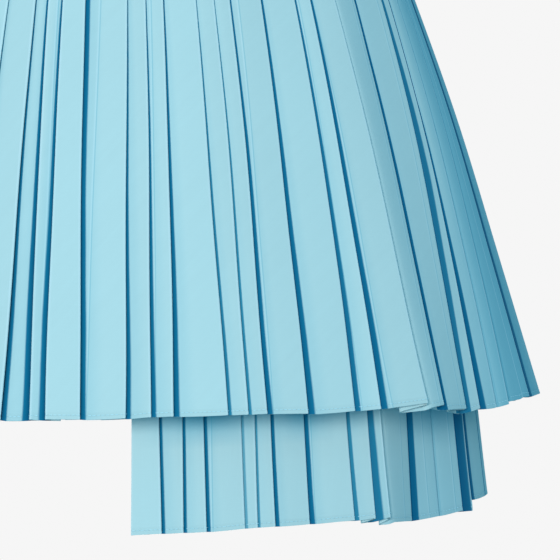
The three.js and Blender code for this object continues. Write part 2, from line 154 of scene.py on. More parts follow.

# Pleats, one row for each fold edge, going round to the viewer's right.
# hip, hem: width in millimetres of the face before the fold edge
# lap: 1 where the fold edge lies over the next face, -1 where it lies over this one, 0 for a free edge
# open: how far its layers stand apart at the hem. groove: how deep the crease beside it is, and how
# wide its painted shade band is
# hang: how many millimetres lower than its face the layers folded under it hang
# ink: how dark the painted shade in its crease is. taper: width of its painted shade band at the
# waist, for 1 at the hem, before the band is kept thin near the waist. Below 0 it starts further down,
# and above 1 it is widest a little past half way down
# press: millimetres from the fold edge back to a faint pressed line on its face, 0 for none. The line
# is painted: a thin line of shade, and a thin line of highlight beside it
# shade: how far its face is in the shade of the others
Pleat = namedtuple("Pleat", "hip hem lap open groove hang ink taper press shade", defaults=(1, 0.05, 0, 0))
FRONT_START = Pleat(-56.7, -77.5, 1, 1, 1.3, 0.5)
FRONT_PLEATS = [
    Pleat(9.3, 18.1, -1, 1.1, 1.35, 1.0),
    Pleat(8.4, 10.8, -1, 1.1, 1.7, 1.2, press=5),
    Pleat(12.7, 19.8, 1, 1, 1.4, 0.5, taper=0.72),
    Pleat(25.9, 25.5, 1, 1, 1.45, 0.9, press=23),
    Pleat(10.7, 16.4, 1, 0.9, 1.4, 0.4),
    Pleat(10.4, 14, 1, 1, 1.4, 0.5, press=10),
    Pleat(20.5, 31.4, 1, 0.9, 1.0, 0.3, ink=0.8),
    Pleat(11, 13.4, 1, 0.9, 0.9, 0.4, ink=0.7),
    Pleat(9.8, 11.9, 1, 1, 1.2, 0.5),
    Pleat(20.4, 24.5, 1, 1, 1.4, 0.7, press=21),
    Pleat(21.7, 31.4, 1, 0.9, 1.25, 0.5, ink=0.95),
    Pleat(10.5, 15.2, 1, 1, 1.3, 0.6, press=11),
    Pleat(17, 31.4, 1, 1.2, 0.5, 5, ink=0.1, press=23),
    Pleat(20.3, 16.1, 1, 1.1, 0.75, 3.5, press=3.5, shade=0.1),
    Pleat(26, 28.4, 1, 1.5, 0.9, 3.5, ink=0.85, taper=2.6, press=6),
    Pleat(7.9, 13.6, 1, 1.2, 1.35, 0.8, taper=-0.6),
    Pleat(10.3, 17, 1, 1, 0.6, 0.4, ink=0.25, press=12, shade=0.45),
    Pleat(13.8, 12.6, 1, 1, 0.6, -1.2, ink=0.3, shade=0.68),
    Pleat(12.3, 29.5, 1, 1.3, 2.9, 0.6, taper=0.56, press=9, shade=0.75),
]
LOWER_START = Pleat(1.5, 2, 0, 1, 0, 0)
LOWER_PLEATS = [
    Pleat(13.2, 16.8, 1, 1, 1.1, 0.4),
    Pleat(9.6, 14.6, 1, 0.9, 1, 0.3),
    Pleat(9.6, 13.4, 1, 1, 1, 0.4),
    Pleat(17.5, 23.4, 1, 0.9, 0.9, 0.3, ink=0.5, press=19),
    Pleat(8, 8.4, 1, 0.9, 0.75, 0.3, ink=0.6),
    Pleat(8, 11.2, 1, 0.9, 0.9, 0.4),
    Pleat(16.4, 22.8, 1, 1, 1.1, 0.4),
    Pleat(20.5, 27.4, 1, 1, 0.9, 0.8, ink=0.7, press=24),
    Pleat(10.4, 15.2, 1, 1, 1.6, 3, ink=0.85),
    Pleat(8, 8.4, 1, 0.9, 0.6, 5, ink=0.15),
    Pleat(31.3, 28.7, 1, 1.2, 1.4, 0.8, press=9),
    Pleat(8.7, 28.7, 1, 0.9, 0.6, 0.5, ink=0.25, press=9, shade=0.3),
    Pleat(19.2, 22.6, 1, 1.6, 3, 1, taper=1, press=6, shade=0.25),
    Pleat(8.1, 14.4, 1, 1.2, 1.2, -0.4),
]
RHYTHM = [30, 14, 15, 27, 32, 16, 14, 34, 15, 25, 13, 30, 21]
FREE_BACK = 178
HIDDEN = {"upper_left": 13, "upper_right": 2, "upper_back": 32, "lower_right": 3, "lower_back": 14}
HIDDEN_GROOVE = (0.9, 1.4)
HIDDEN_HANG = (0.2, 1.0)
HIDDEN_CREASE_SHADE = (0.75, 1.0)

# Narrow stitched hem: heights above the cut edge
HEM_STITCH = 2.6 * MM
HEM_FOLD = 4.4 * MM
HEM_THICKNESS = 0.95 * MM
HEM_STEP = 0.3 * MM
HEM_DENT = (0.14 * MM, 0.5 * MM)
HEM_PUFF = (0.07 * MM, 0.8 * MM)
HEM_PUFF_PLACE = 1.2 * MM
HEM_WAVES = 23
HEM_WAVE = 0.3 * MM
HEM_WAVE_POWER = 6
HEM_MARK_LIMIT = 40
HEM_ROWS = np.array([0, 0.25, 0.7, 1.4, 2.1, 2.6, 3.1, 3.7, 4.3, 4.7, 5.5, 8, 13, 20]) * MM
ROW_STEP = 10 * MM
ANGLES = np.radians(np.linspace(-200, 300, 5001))

# Stitches: bars with six sides, and the stations along them with their widths and heights
STITCH_PITCH = 2.7 * MM
STITCH_LENGTH = 2.2 * MM
STITCH_RADIUS = 0.17 * MM
STITCH_SUNK = 0.08 * MM
STITCH_FROM_CREASE = 1.0
STATIONS = np.array([-1, -0.72, 0, 0.72, 1])
STATION_WIDTHS = np.array([0.3, 0.85, 1, 0.85, 0.3])
STATION_HEIGHTS = np.array([-0.5, 0.2, 0.5, 0.2, -0.5])
AROUND = np.radians(np.arange(0, 360, 60))

# Zip: tape and coil in the left side seam, and the short stretch of coil in the waistband's slit
ZIP_LENGTH = 150 * MM
ZIP_INSET = (6.8 * MM, 7.8 * MM)
ZIP_ROWS = 46
TAPE_ACROSS = np.array([-11, -10.6, -8, -5, -2, -1.5, -1, 0, 1, 1.5, 2, 5, 8, 10.6, 11]) * MM
TAPE_RIDGE = (0.3 * MM, 1.6 * MM)
TAPE_WALL = 0.5 * MM
COIL_PITCH = 0.62 * MM
COIL_BAR = 2.6 * MM
COIL_RADIUS = 0.33 * MM
COIL_OFF_TAPE = 0.5 * MM
COIL_FACING = np.array([0.95, 0, 0.31])
COIL_TILT = 0.22
SLIT_COIL_TILT = 0.2
SLIT_COIL_OUT = 0.55 * MM
SLIDER_FOOT = 2.6 * MM
BACKING_ACROSS = np.array([-5, -2.5, 0, 2.5, 5]) * MM
BACKING_OUT = -0.7 * MM
BACKING_ROWS = 12


def smooth_rows(table, at):
    """Cubic curves through a table's rows, with each row's slope taken from its neighbours."""
    x, y = table[:, 0], table[:, 1:]
    slope = np.gradient(y, x, axis=0)
    k = np.clip(np.searchsorted(x, at, side="right") - 1, 0, len(x) - 2)
    span = (x[k + 1] - x[k])[..., None]
    t = np.clip((at - x[k])[..., None] / span, 0, 1)
    start = (1 + 2 * t) * (1 - t) ** 2 * y[k] + t * (1 - t) ** 2 * span * slope[k]
    end = t**2 * (3 - 2 * t) * y[k + 1] - t**2 * (1 - t) * span * slope[k + 1]
    return start + end


def tent(row, angle):
    """A corner over the angle: it rises evenly to its reach and falls evenly again."""
    centre, before, after, reach = row
    away = (np.degrees(angle) - centre + 180) % 360 - 180
    return reach * np.maximum(0, 1 - np.where(away < 0, -away / before, away / after))


def bell(value, centre, spread):
    return np.exp(-(((value - centre) / spread) ** 2))


def together(*arrays):
    """Arrays side by side along a last axis, each stretched to the shape that they share."""
    return np.stack(np.broadcast_arrays(*arrays), axis=-1)


def bells(rows, angle):
    """Sum of bell curves over the angle, one for each row of centre, spread and height."""
    degrees = np.degrees(angle)
    total = np.zeros_like(degrees)
    for centre, spread, height in rows:
        away = (degrees - centre + 180) % 360 - 180
        total += height * bell(away, 0, spread)
    return total


def beside_ring(half, angle, out):
    """Point seen from above: on an ellipse at an angle from centre front, moved outwards along its normal."""
    sine, cosine = np.sin(angle), np.cos(angle)
    across, along = sine * half[..., 1], -cosine * half[..., 0]
    length = np.hypot(across, along)
    return np.stack([sine * half[..., 0] + out * across / length,
                     -cosine * half[..., 1] + out * along / length], axis=-1)


def angle_at(half, distance):
    """Angle that lies a distance along an ellipse from centre front."""
    step = np.hypot(half[0] * np.cos(ANGLES), half[1] * np.sin(ANGLES)) * (ANGLES[1] - ANGLES[0])
    walked = np.cumsum(step) - step / 2
    walked -= np.interp(0, ANGLES, walked)
    return np.interp(distance, walked, ANGLES)


class Tier:
    """One tier of the skirt, from the waistband to its hem."""

    def __init__(self, outline, corner, lifts):
        self.outline = outline
        self.length = outline[-1, 0]
        self.corner = corner
        self.lifts = np.array(lifts)

    def ring(self, drop):
        """Half width and half depth at a drop. Above the cloth's top they lean in as the waistband does."""
        lean = (self.outline[0, 1:] - BAND_TOP_RING) / BAND_HEIGHT
        lean = np.clip(lean, *BAND_LEAN)
        return smooth_rows(self.outline, np.maximum(drop, 0)) + np.minimum(drop, 0)[..., None] * lean

    def point(self, angle, drop, depth):
        weight = np.maximum(0, (drop - FOLD_START) / (self.length - FOLD_START))
        turn = np.maximum(drop / self.length, 0) ** CORNER_POWER * tent(self.corner, angle)
        return beside_ring(self.ring(drop), angle, weight * bells(SOFT_FOLDS, angle) + turn - depth)

    def lift(self, angle, drop, sag):
        """Height of the cloth above its level: the hem's lift, less what the folded layers hang down."""
        degrees = (np.degrees(angle) + 90) % 360 - 90
        height = np.interp(degrees, self.lifts[:, 0], self.lifts[:, 1]) * MM
        return np.maximum(drop / self.length, 0) ** LIFT_POWER * (height - sag)

    def edges(self, start, pleats):
        """Fold edges with their angles at the hip and the hem, from widths added up along both rings."""
        rows = [start, *pleats]
        hip = angle_at(self.ring(np.array(HIP_DROP)), np.cumsum([row.hip for row in rows]) * MM)
        hem = angle_at(self.outline[-1, 1:], np.cumsum([row.hem for row in rows]) * MM)
        return [row._replace(hip=a, hem=b) for row, a, b in zip(rows, hip, hem)]

    def rows(self):
        """Drops of the grid's rows: close together over the hem, wider above it, up into the waistband."""
        hem = self.length - HEM_ROWS[::-1]
        count = int(round(hem[0] / ROW_STEP))
        body = np.linspace(0, hem[0], count, endpoint=False)
        return np.concatenate([[-TUCK, -TUCK / 2], body, hem])


def straight_edge(degrees):
    angle = math.radians(degrees)
    return Pleat(angle, angle, 1, 1, 1, 0.5)


def hidden_edges(start, end, faces):
    """Fold edges that cut a stretch into faces in the rhythm of wide and narrow ones."""
    widths = np.array([RHYTHM[k % len(RHYTHM)] for k in range(faces)], float)
    share = np.cumsum(widths)[:-1] / widths.sum()
    groove = rng.uniform(*HIDDEN_GROOVE, faces)
    hang = rng.uniform(*HIDDEN_HANG, faces)
    ink = rng.uniform(*HIDDEN_CREASE_SHADE, faces)
    return [Pleat(start.hip + s * (end.hip - start.hip), start.hem + s * (end.hem - start.hem), 1, 1,
                  g, h, i, shade=start.shade * (1 - s)) for s, g, h, i in zip(share, groove, hang, ink)]


def turned(edge, degrees):
    return edge._replace(hip=edge.hip + math.radians(degrees), hem=edge.hem + math.radians(degrees))


Panel = namedtuple("Panel", "tier before edges seam_start seam_end")


def make_panels():
    """The four pleated panels, each with the fold edge before it, its own edges and where it is sewn."""
    upper = Tier(UPPER_OUTLINE, UPPER_CORNER, UPPER_LIFTS)
    lower = Tier(LOWER_OUTLINE, LOWER_CORNER, LOWER_LIFTS)
    shown = upper.edges(FRONT_START, FRONT_PLEATS)
    shaded = shown[-1]._replace(shade=1.0)
    left, right, left_again, back = (straight_edge(a) for a in (-90, 90, 270, FREE_BACK))
    upper_front = [left, *hidden_edges(left, shown[0], HIDDEN["upper_left"]), *shown,
                   *hidden_edges(shaded, right, HIDDEN["upper_right"]), right]
    upper_back = [right, *hidden_edges(right, left_again, HIDDEN["upper_back"]), left_again]
    under = lower.edges(LOWER_START, LOWER_PLEATS)
    lower_front = [*under, *hidden_edges(under[-1], right, HIDDEN["lower_right"]), right]
    lower_back = [right, *hidden_edges(right, back, HIDDEN["lower_back"]), back._replace(lap=0)]
    return {
        "upper_front": Panel(upper, turned(upper_back[-2], -360), upper_front, True, True),
        "upper_back": Panel(upper, upper_front[-2], upper_back, True, True),
        "lower_front": Panel(lower, None, lower_front, False, True),
        "lower_back": Panel(lower, lower_front[-2], lower_back, True, False),
    }


# Samples of one fold, over its crest and back, and of one face, closer together beside the folds
CREST_TURN = np.radians([0, 40, 80, 120, 180])
DEEP_TURN = np.radians([0, 60, 120, 180])
FACE_SHARES = np.array([0.02, 0.05, 0.09, 0.14, 0.2, 0.28, 0.4, 0.56, 0.74, 0.88, 0.96])
FOLD_COUNT = len(CREST_TURN) + 1 + len(DEEP_TURN) + 2
CREST_PART = np.arange(FOLD_COUNT) < len(CREST_TURN)

# Marks along a fold: distances from the crease and the crest, which place its painted shade and
# highlight, and the share of its hang
FAR = 9.0
CREST_WIDTH = 5.0
FOLD_CREASE = np.array([FAR, FAR, 2, 1.4, 1, 2.5, 2.5, 2.5, 2.5, 2.5, 1.5, 0])
FOLD_CREST = np.array([0, 0, 0.5, 5, 5, 5, 5, 5, 5, 5, 5, 5])
FOLD_SAG = np.array([0, 0, 0.05, 0.15, 0.25, 0.5, 0.75, 0.85, 1, 1, 1, 1])
HIDDEN_LIMIT = 0.75


def unit(vectors):
    return vectors / np.maximum(np.linalg.norm(vectors, axis=-1, keepdims=True), 1e-9)


class Section:
    """The middle line of a panel's cloth at each row, seen from above, with the marks along it.

    At a fold edge it turns over the crest, runs back under its own face, turns again one layer deeper
    and comes forward to where the next face starts. That face climbs steeply out of the crease, as
    an exponential of the distance from it, and then runs level to its own crest.
    Arrays run over rows, fold edges or faces, and samples.
    """

    def __init__(self, panel):
        self.panel = panel
        self.tier = panel.tier
        self.drop = self.tier.rows()
        edges = [edge for edge in (panel.before, *panel.edges) if edge]
        self.first = 1 if panel.before else 0
        self.table = Pleat(*np.array(edges, float).T)
        self.down = np.clip(self.drop / self.tier.length, 0, 1)[:, None]
        self.tones = rng.uniform(-1, 1, len(edges) + 1)
        self.place_edges()
        self.place_folds()
        self.place_faces()
        self.join()

    def place_edges(self):
        """Crests of the fold edges, and the deep layer under each, with a slight sway on the way down."""
        table, down, tier = self.table, self.down, self.tier
        phase = rng.uniform(0, 2 * math.pi, (3, len(table.hip)))
        share = np.clip((self.drop - HIP_DROP) / (tier.length - HIP_DROP), 0, 1)[:, None]
        sway = sum(np.sin(down * turn + start) * reach for (turn, reach), start in zip(SWAYS, phase))
        arc = tier.ring(self.drop).mean(axis=1)[:, None]
        self.angle = table.hip + (table.hem - table.hip) * share + sway * down / arc
        self.layer = LAYER_WAIST + (LAYER_HEM * table.open - LAYER_WAIST) * down
        gap = GROOVE_HEM * np.minimum(table.groove, GROOVE_MOST) * down**GROOVE_POWER
        self.depth = 2 * self.layer + gap
        level = np.repeat(self.drop[:, None], len(table.hip), axis=1)
        bob = np.sin(down * BOB[0] + phase[2]) * BOB[1] * down
        free = table.lap == 0
        self.crest = tier.point(self.angle, level, np.where(free, self.layer, 0) + bob)
        self.base = tier.point(self.angle, level, np.where(free, self.layer, 2 * self.layer) + bob)
        self.low = tier.point(self.angle, level, np.where(free, self.layer, self.depth) + bob)

    def place_folds(self):
        lap = self.table.lap
        index = np.arange(len(lap))
        facing = np.clip(np.where(lap == -1, index + 1, index - 1), 0, len(lap) - 1)
        alone = (lap[facing] == lap) | (lap[facing] == 0) | (lap == 0)
        back = np.where(alone[:, None], self.base[:, facing], self.crest[:, facing]) - self.crest
        along = unit(back)
        sign = self.layer * np.where(lap == 0, 1, lap)
        inward = np.stack([along[..., 1], -along[..., 0]], axis=-1) * sign[..., None]
        far = self.crest + back * np.where(alone, UNDERLAY, UNDERLAY_SHARED)[:, None]
        bulge = along * self.layer[..., None] * FOLD_ROUNDNESS / 2

        def turn(centre, bulge, angles):
            a = angles[:, None]
            return centre[:, :, None] - inward[:, :, None] / 2 * np.cos(a) + bulge[:, :, None] * np.sin(a)

        over = turn(self.crest + inward / 2, -bulge, CREST_TURN)
        under = turn(far + inward * 1.5, bulge, DEEP_TURN)
        middle = ((self.crest + far) / 2 + inward)[:, :, None]
        deep = ((far + 2 * inward) * 0.5 + self.low * 0.5)[:, :, None]
        self.folds = np.concatenate([over, middle, under, deep, self.low[:, :, None]], axis=2)
        flip = lap == -1
        self.folds[:, flip] = self.folds[:, flip, ::-1]
        self.folds[:, lap == 0] = self.crest[:, lap == 0, None]

    def place_faces(self):
        lap = self.table.lap
        start, end = self.folds[:, :-1, -1], self.folds[:, 1:, 0]
        chord = end - start
        s = FACE_SHARES
        self.width = np.linalg.norm(chord, axis=-1)[..., None]
        outward = unit(np.stack([chord[..., 1], -chord[..., 0]], axis=-1))
        rise_left = self.depth[:, :-1, None] * (lap[:-1] == 1)[None, :, None]
        rise_right = self.depth[:, 1:, None] * (lap[1:] == -1)[None, :, None]
        near = RISE_WIDTH * (RISE_AT_WAIST + (1 - RISE_AT_WAIST) * self.down)[..., None] / RISE_STEEPNESS
        climb = (rise_left * (1 - s) * (1 - np.exp(-s * self.width / near))
                 + rise_right * s * (1 - np.exp(-(1 - s) * self.width / near))) * RISE_SHARE
        bow = np.sin(s * math.pi) * FACE_BOW
        self.faces = (start[:, :, None] + chord[:, :, None] * s[:, None]
                      + outward[:, :, None] * (climb + bow)[..., None])

    def fold_marks(self):
        table, tones = self.table, self.tones
        next_shade = np.append(table.shade[1:], table.shade[-1])

        def shared(before, after):
            """The crest carries its own face's value, and the rest of the fold the other face's."""
            own = np.where(table.lap == -1, after, before)[:, None]
            other = np.where(table.lap == -1, before, after)[:, None]
            return np.where(CREST_PART, own, other)

        pressed = CREST_PART & (table.press[:, None] > 0) & (table.lap[:, None] == 1)
        marks = {
            "crease": np.repeat(FOLD_CREASE[None], len(table.lap), axis=0),
            "crest": np.repeat(FOLD_CREST[None], len(table.lap), axis=0),
            "press": np.where(pressed, -FAR, FAR),
            "tone": shared(tones[:-1], tones[1:]),
            "shade": shared(table.shade, next_shade),
            "ink": np.repeat(table.ink[:, None], FOLD_COUNT, axis=1),
            "sag": FOLD_SAG * table.hang[:, None] * MM,
        }
        for values in marks.values():
            values[table.lap == -1] = values[table.lap == -1, ::-1]
        marks["crease"][table.lap == 0] = FAR
        marks["crest"][table.lap == 0] = 0
        marks["sag"][table.lap == 0] = 0
        rows = len(self.drop)
        return {key: np.broadcast_to(values, (rows, *values.shape)) for key, values in marks.items()}

    def face_marks(self):
        table, s = self.table, FACE_SHARES
        left, right = (table.lap[:-1] == 1)[:, None], (table.lap[1:] == -1)[:, None]
        slope = self.tier.outline[-1, 2] / self.tier.outline[-1, 1] * np.tan(self.angle)
        widening = table.taper + (1 - table.taper) * self.down**SHADE_POWER
        most, late = (start + more * self.down for start, more in (SHADE_MOST, SHADE_MOST_LATE))
        widening = np.maximum(np.minimum(widening, np.where(table.taper > 1, late, most)), SHADE_LEAST)
        wide = SHADE_WIDTH * table.groove * widening
        from_left, from_right = s * self.width, (1 - s) * self.width
        left_crease = self.crease(from_left, slope, wide, slice(None, -1))
        right_crease = self.crease(from_right, -slope, wide, slice(1, None))
        crest_left = np.where(left, CREST_WIDTH, from_left / MM)
        crest_right = np.where(right, CREST_WIDTH, from_right / MM)
        pressed = (table.press[1:] > 0) & (table.lap[1:] != 0)
        pressed_at = table.press[1:] * (PRESS_AT_WAIST + (1 - PRESS_AT_WAIST) * self.down)
        press = from_right / MM - pressed_at[..., None]
        shape = np.ones(from_left.shape)
        first = np.where(table.shade[1:] == 1, 1, table.shade[:-1])
        hang_left = np.where(table.lap[:-1] == 1, table.hang[:-1], 0)[:, None]
        hang_right = np.where(table.lap[1:] == -1, table.hang[1:], 0)[:, None]
        return {
            "crease": np.minimum(np.where(left, left_crease, FAR), np.where(right, right_crease, FAR)),
            "crest": np.minimum(np.minimum(crest_left, crest_right), CREST_WIDTH),
            "press": np.where(pressed[:, None], np.clip(press, -FAR, FAR), FAR),
            "tone": shape * self.tones[1:-1, None],
            "shade": shape * (first + (table.shade[1:] - first) * s[:, None]).T,
            "ink": shape * np.where(table.lap[:-1] == 1, table.ink[:-1], table.ink[1:])[:, None],
            "sag": shape * ((1 - s) * hang_left + s * hang_right) * MM,
        }

    def crease(self, distance, slope, wide, part):
        """Distance from where a crease shows, in widths of its painted shade band.

        The fold edge stands over the crease by its depth, so the crease shows only past depth times
        the tangent of the angle at which the front or the back is seen there.
        """
        hidden = self.depth * np.clip(slope, 0, HIDDEN_LIMIT)
        return np.minimum((distance - hidden[:, part, None]) / wide[:, part, None], FAR)

    def join(self):
        """One path and its marks, from the folds and the faces in turn. Seams cut the outer folds short."""
        folds, faces = self.fold_marks(), self.face_marks()
        paths, last = [], len(self.table.lap) - 1
        marks = {key: [] for key in folds}
        for k in range(self.first, last + 1):
            part = slice(0, FOLD_COUNT)
            if self.table.lap[k] == 0:
                part = slice(0, 1)
            elif k == self.first and self.panel.seam_start:
                part = slice(FOLD_COUNT - 2, FOLD_COUNT)
            elif k == last and self.panel.seam_end:
                part = slice(0, FOLD_COUNT - 1)
            paths.append(self.folds[:, k, part])
            for key, parts in marks.items():
                parts.append(folds[key][:, k, part])
            if k < last:
                paths.append(self.faces[:, k])
                for key, parts in marks.items():
                    parts.append(faces[key][:, k])
        self.path = np.concatenate(paths, axis=1)
        self.layers = {key: np.concatenate(parts, axis=1) for key, parts in marks.items()}
        self.sag = self.layers.pop("sag")


def under_hem_shade(panel, angle, height):
    """Share of painted shadow on the under-tier: uneven round it, and fading down from the upper hem."""
    if panel.tier.outline is UPPER_OUTLINE:
        return np.zeros(angle.shape)
    degrees = (np.degrees(angle) + 90) % 360 - 90
    hem = CLOTH_TOP - UPPER_OUTLINE[-1, 0] + np.interp(degrees, *np.array(UPPER_LIFTS).T) * MM
    near = np.clip(1 - (hem - height) / UNDER_HEM_REACH, 0, 1)
    return near**UNDER_HEM_POWER * np.clip(bells(UNDER_HEM_SHADES, angle), 0, 1)


def panel_grid(panel):
    """Points of the panel's middle surface: the section at each row, at its height with the hem's lift."""
    section = Section(panel)
    drop, path, layers = section.drop, section.path, section.layers
    half = panel.tier.outline[-1, 1:]
    angle = np.arctan2(path[..., 0] / half[0], -path[..., 1] / half[1])
    height = CLOTH_TOP - drop[:, None] + panel.tier.lift(angle, drop[:, None], section.sag)
    wave = np.maximum(drop / panel.tier.length, 0)[:, None] ** HEM_WAVE_POWER
    height = height + wave * np.sin(angle * HEM_WAVES) * HEM_WAVE
    above = np.repeat((panel.tier.length - drop)[:, None] / MM, path.shape[1], axis=1)
    layers["hem"] = np.minimum(above, HEM_MARK_LIMIT)
    # Share of painted shadow under the upper hem
    layers["hem_shadow"] = under_hem_shade(panel, angle, height)
    return drop, np.concatenate([path, height[..., None]], axis=-1), layers


def grid_normals(grid):
    """Unit normals of a grid of points, from its central differences."""
    across = np.gradient(grid, axis=1)
    downward = np.gradient(grid, axis=0)
    return unit(np.cross(downward, across))


def path_lengths(grid):
    """Distance walked along each row of a grid."""
    steps = np.linalg.norm(np.diff(grid, axis=1), axis=-1)
    return np.concatenate([np.zeros((len(grid), 1)), np.cumsum(steps, axis=1)], axis=1)


def slant_lengths(grid):
    """Distance walked down a grid, as the mean of its columns."""
    steps = np.linalg.norm(np.diff(grid, axis=0), axis=-1).mean(axis=1)
    return np.concatenate([[0], np.cumsum(steps)])


def mesh_object(name, vertices, quads, material, layers=None, uv=None):
    """An object with its place in its mesh, from arrays of corners and quads."""
    mesh = bpy.data.meshes.new(name)
    mesh.vertices.add(len(vertices))
    mesh.vertices.foreach_set("co", np.asarray(vertices, np.float32).ravel())
    mesh.loops.add(quads.size)
    mesh.loops.foreach_set("vertex_index", quads.astype(np.int32).ravel())
    mesh.polygons.add(len(quads))
    mesh.polygons.foreach_set("loop_start", np.arange(0, quads.size, quads.shape[1], dtype=np.int32))
    mesh.update(calc_edges=True)
    mesh.polygons.foreach_set("use_smooth", np.full(len(quads), True))
    for key, values in (layers or {}).items():
        mesh.attributes.new(key, "FLOAT", "POINT").data.foreach_set("value", values.astype(np.float32))
    if uv is not None:
        mesh.uv_layers.new(name="UVMap").data.foreach_set("uv", uv[quads.ravel()].astype(np.float32).ravel())
    mesh.validate()
    mesh.materials.append(material)
    piece = bpy.data.objects.new(name, mesh)
    bpy.context.scene.collection.objects.link(piece)
    return piece


def grid_quads(rows, columns, offset=0, closed=False):
    """Corner numbers of a grid's quads, row by row."""
    i = np.arange(rows - 1)[:, None]
    j = np.arange(columns if closed else columns - 1)[None, :]
    after = (j + 1) % columns
    corners = together(i * columns + j, (i + 1) * columns + j, (i + 1) * columns + after,
                       i * columns + after)
    return corners.reshape(-1, 4) + offset


def shell(name, grid, outer, inner, material, layers, uv):
    """A closed thin shell: a grid moved out and in along its normals, and joined round its rim."""
    rows, columns = grid.shape[:2]
    normal = grid_normals(grid)
    points = np.concatenate([(grid + normal * outer).reshape(-1, 3), (grid - normal * inner).reshape(-1, 3)])
    size = rows * columns
    front = grid_quads(rows, columns)
    back = grid_quads(rows, columns, size)[:, ::-1]
    number = np.arange(size).reshape(rows, columns)
    rim = np.concatenate([number[0, ::-1], number[1:, 0], number[-1, 1:], number[-2:0:-1, -1]])
    following = np.roll(rim, -1)
    sides = np.stack([rim, rim + size, following + size, following], axis=-1)
    double = {key: np.concatenate([front_values.ravel(), back_values.ravel()])
              for key, (front_values, back_values) in layers.items()}
    flat = np.concatenate([uv.reshape(-1, 2)] * 2)
    quads = np.concatenate([front, back, sides[:, ::-1]])
    return mesh_object(name, points, quads, material, double, flat)


class Link:
    """A shader socket. Arithmetic on it adds Math nodes."""

    def __init__(self, shader, socket):
        self.shader, self.socket = shader, socket

    def maths(self, operation, *values):
        return self.shader.node("ShaderNodeMath", {"operation": operation}, dict(enumerate(values)))

    def __add__(self, other):
        return self.maths("ADD", self, other)

    def __mul__(self, other):
        return self.maths("MULTIPLY", self, other)

    def __sub__(self, other):
        return self.maths("SUBTRACT", self, other)

    def sine(self):
        return self.maths("SINE", self)

    __radd__ = __add__
    __rmul__ = __mul__


class Shader:
    """A material's node tree around one Principled shader."""

    def __init__(self, name, **constants):
        self.material = bpy.data.materials.new(name)
        self.material.use_nodes = True
        self.tree = self.material.node_tree
        self.surface = self.tree.nodes["Principled BSDF"]
        self.output = self.tree.nodes["Material Output"]
        for key, value in constants.items():
            self.surface.inputs[key.replace("_", " ")].default_value = value

    def put(self, socket, value):
        if isinstance(value, Link):
            self.tree.links.new(value.socket, socket)
        elif isinstance(value, tuple) and socket.type == "RGBA":
            socket.default_value = (*value, 1)
        else:
            socket.default_value = value

    def node(self, kind, settings=None, sockets=None, output=0):
        """Adds a node: its settings first, then the values or links of its sockets."""
        node = self.tree.nodes.new(kind)
        for key, value in (settings or {}).items():
            setattr(node, key, value)
        for key, value in (sockets or {}).items():
            self.put(node.inputs[key], value)
        return Link(self, node.outputs[output])

    def mix(self, factor, a, b):
        return self.node("ShaderNodeMix", {"data_type": "RGBA"}, {0: factor, 6: a, 7: b}, output=2)

    def scaled(self, colour, factor):
        return self.node("ShaderNodeVectorMath", {"operation": "SCALE"}, {0: colour, "Scale": factor})

    def cut(self):
        """The place on the flat cut, in metres across and down it."""
        split = self.tree.nodes.new("ShaderNodeSeparateXYZ")
        self.put(split.inputs[0], self.node("ShaderNodeTexCoord", output="UV"))
        return Link(self, split.outputs[0]), Link(self, split.outputs[1])

    def attribute(self, name):
        return self.node("ShaderNodeAttribute", {"attribute_name": name}, output="Fac")

    def noise(self, vector, scale, detail=2.0, roughness=0.5):
        sockets = {"Vector": vector, "Scale": scale, "Detail": detail, "Roughness": roughness}
        return self.node("ShaderNodeTexNoise", None, sockets, output="Fac")

    def step(self, value, zero, one):
        """Smooth step of a value, from 0 at zero to 1 at one."""
        return self.node("ShaderNodeMapRange", {"interpolation_type": "SMOOTHSTEP"},
                         {"Value": value, "From Min": zero, "From Max": one})

    def band(self, value, low, start, end, high):
        """1 between start and end, fading to 0 at low and high."""
        return self.step(value, low, start) * self.step(value, high, end)

    def vector(self, x, y, z=0.0):
        return self.node("ShaderNodeCombineXYZ", None, {0: x, 1: y, 2: z})

    def bump(self, height, distance, strength=1.0, normal=None):
        sockets = {"Height": height, "Distance": distance, "Strength": strength}
        if normal:
            sockets["Normal"] = normal
        return self.node("ShaderNodeBump", None, sockets)

    def finish(self, **links):
        for key, value in links.items():
            self.put(self.surface.inputs[key.replace("_", " ")], value)
        return self.material


# Colours, linear. The six after AQUA are painted shade, shadow and highlight on the cloth
AQUA = (0.46, 0.65, 0.68)
# Painted shade: on faces turned away, beside the creases and along the pressed lines
PAINTED_SHADE_AQUA = (0.08, 0.41, 0.54)
# Painted shade in the creases: at the crease itself, and further out in its band
PAINTED_CREASE_SHADE_DEEP = (0.0, 0.115, 0.235)
PAINTED_CREASE_SHADE_EDGE = (0.003, 0.20, 0.34)
# Painted highlight, on the fold edges and beside the pressed lines
PAINTED_HIGHLIGHT_AQUA = (0.60, 0.78, 0.84)
# Deeper painted shade on the face turned farthest away
PAINTED_SHADE_FAR_SIDE = (0.05, 0.50, 0.64)
# Painted shadow of the upper hem on the under-tier
PAINTED_SHADOW_UNDER_HEM = (0.045, 0.35, 0.50)
TAPE = (0.22, 0.50, 0.63)
THREAD = (0.50, 0.80, 0.90)
LACQUER = (0.30, 0.58, 0.70)
PALE = (0.921, 0.921, 0.921)

WEAVE_PITCH = 0.5 * MM
RIB_PITCH = 0.9 * MM


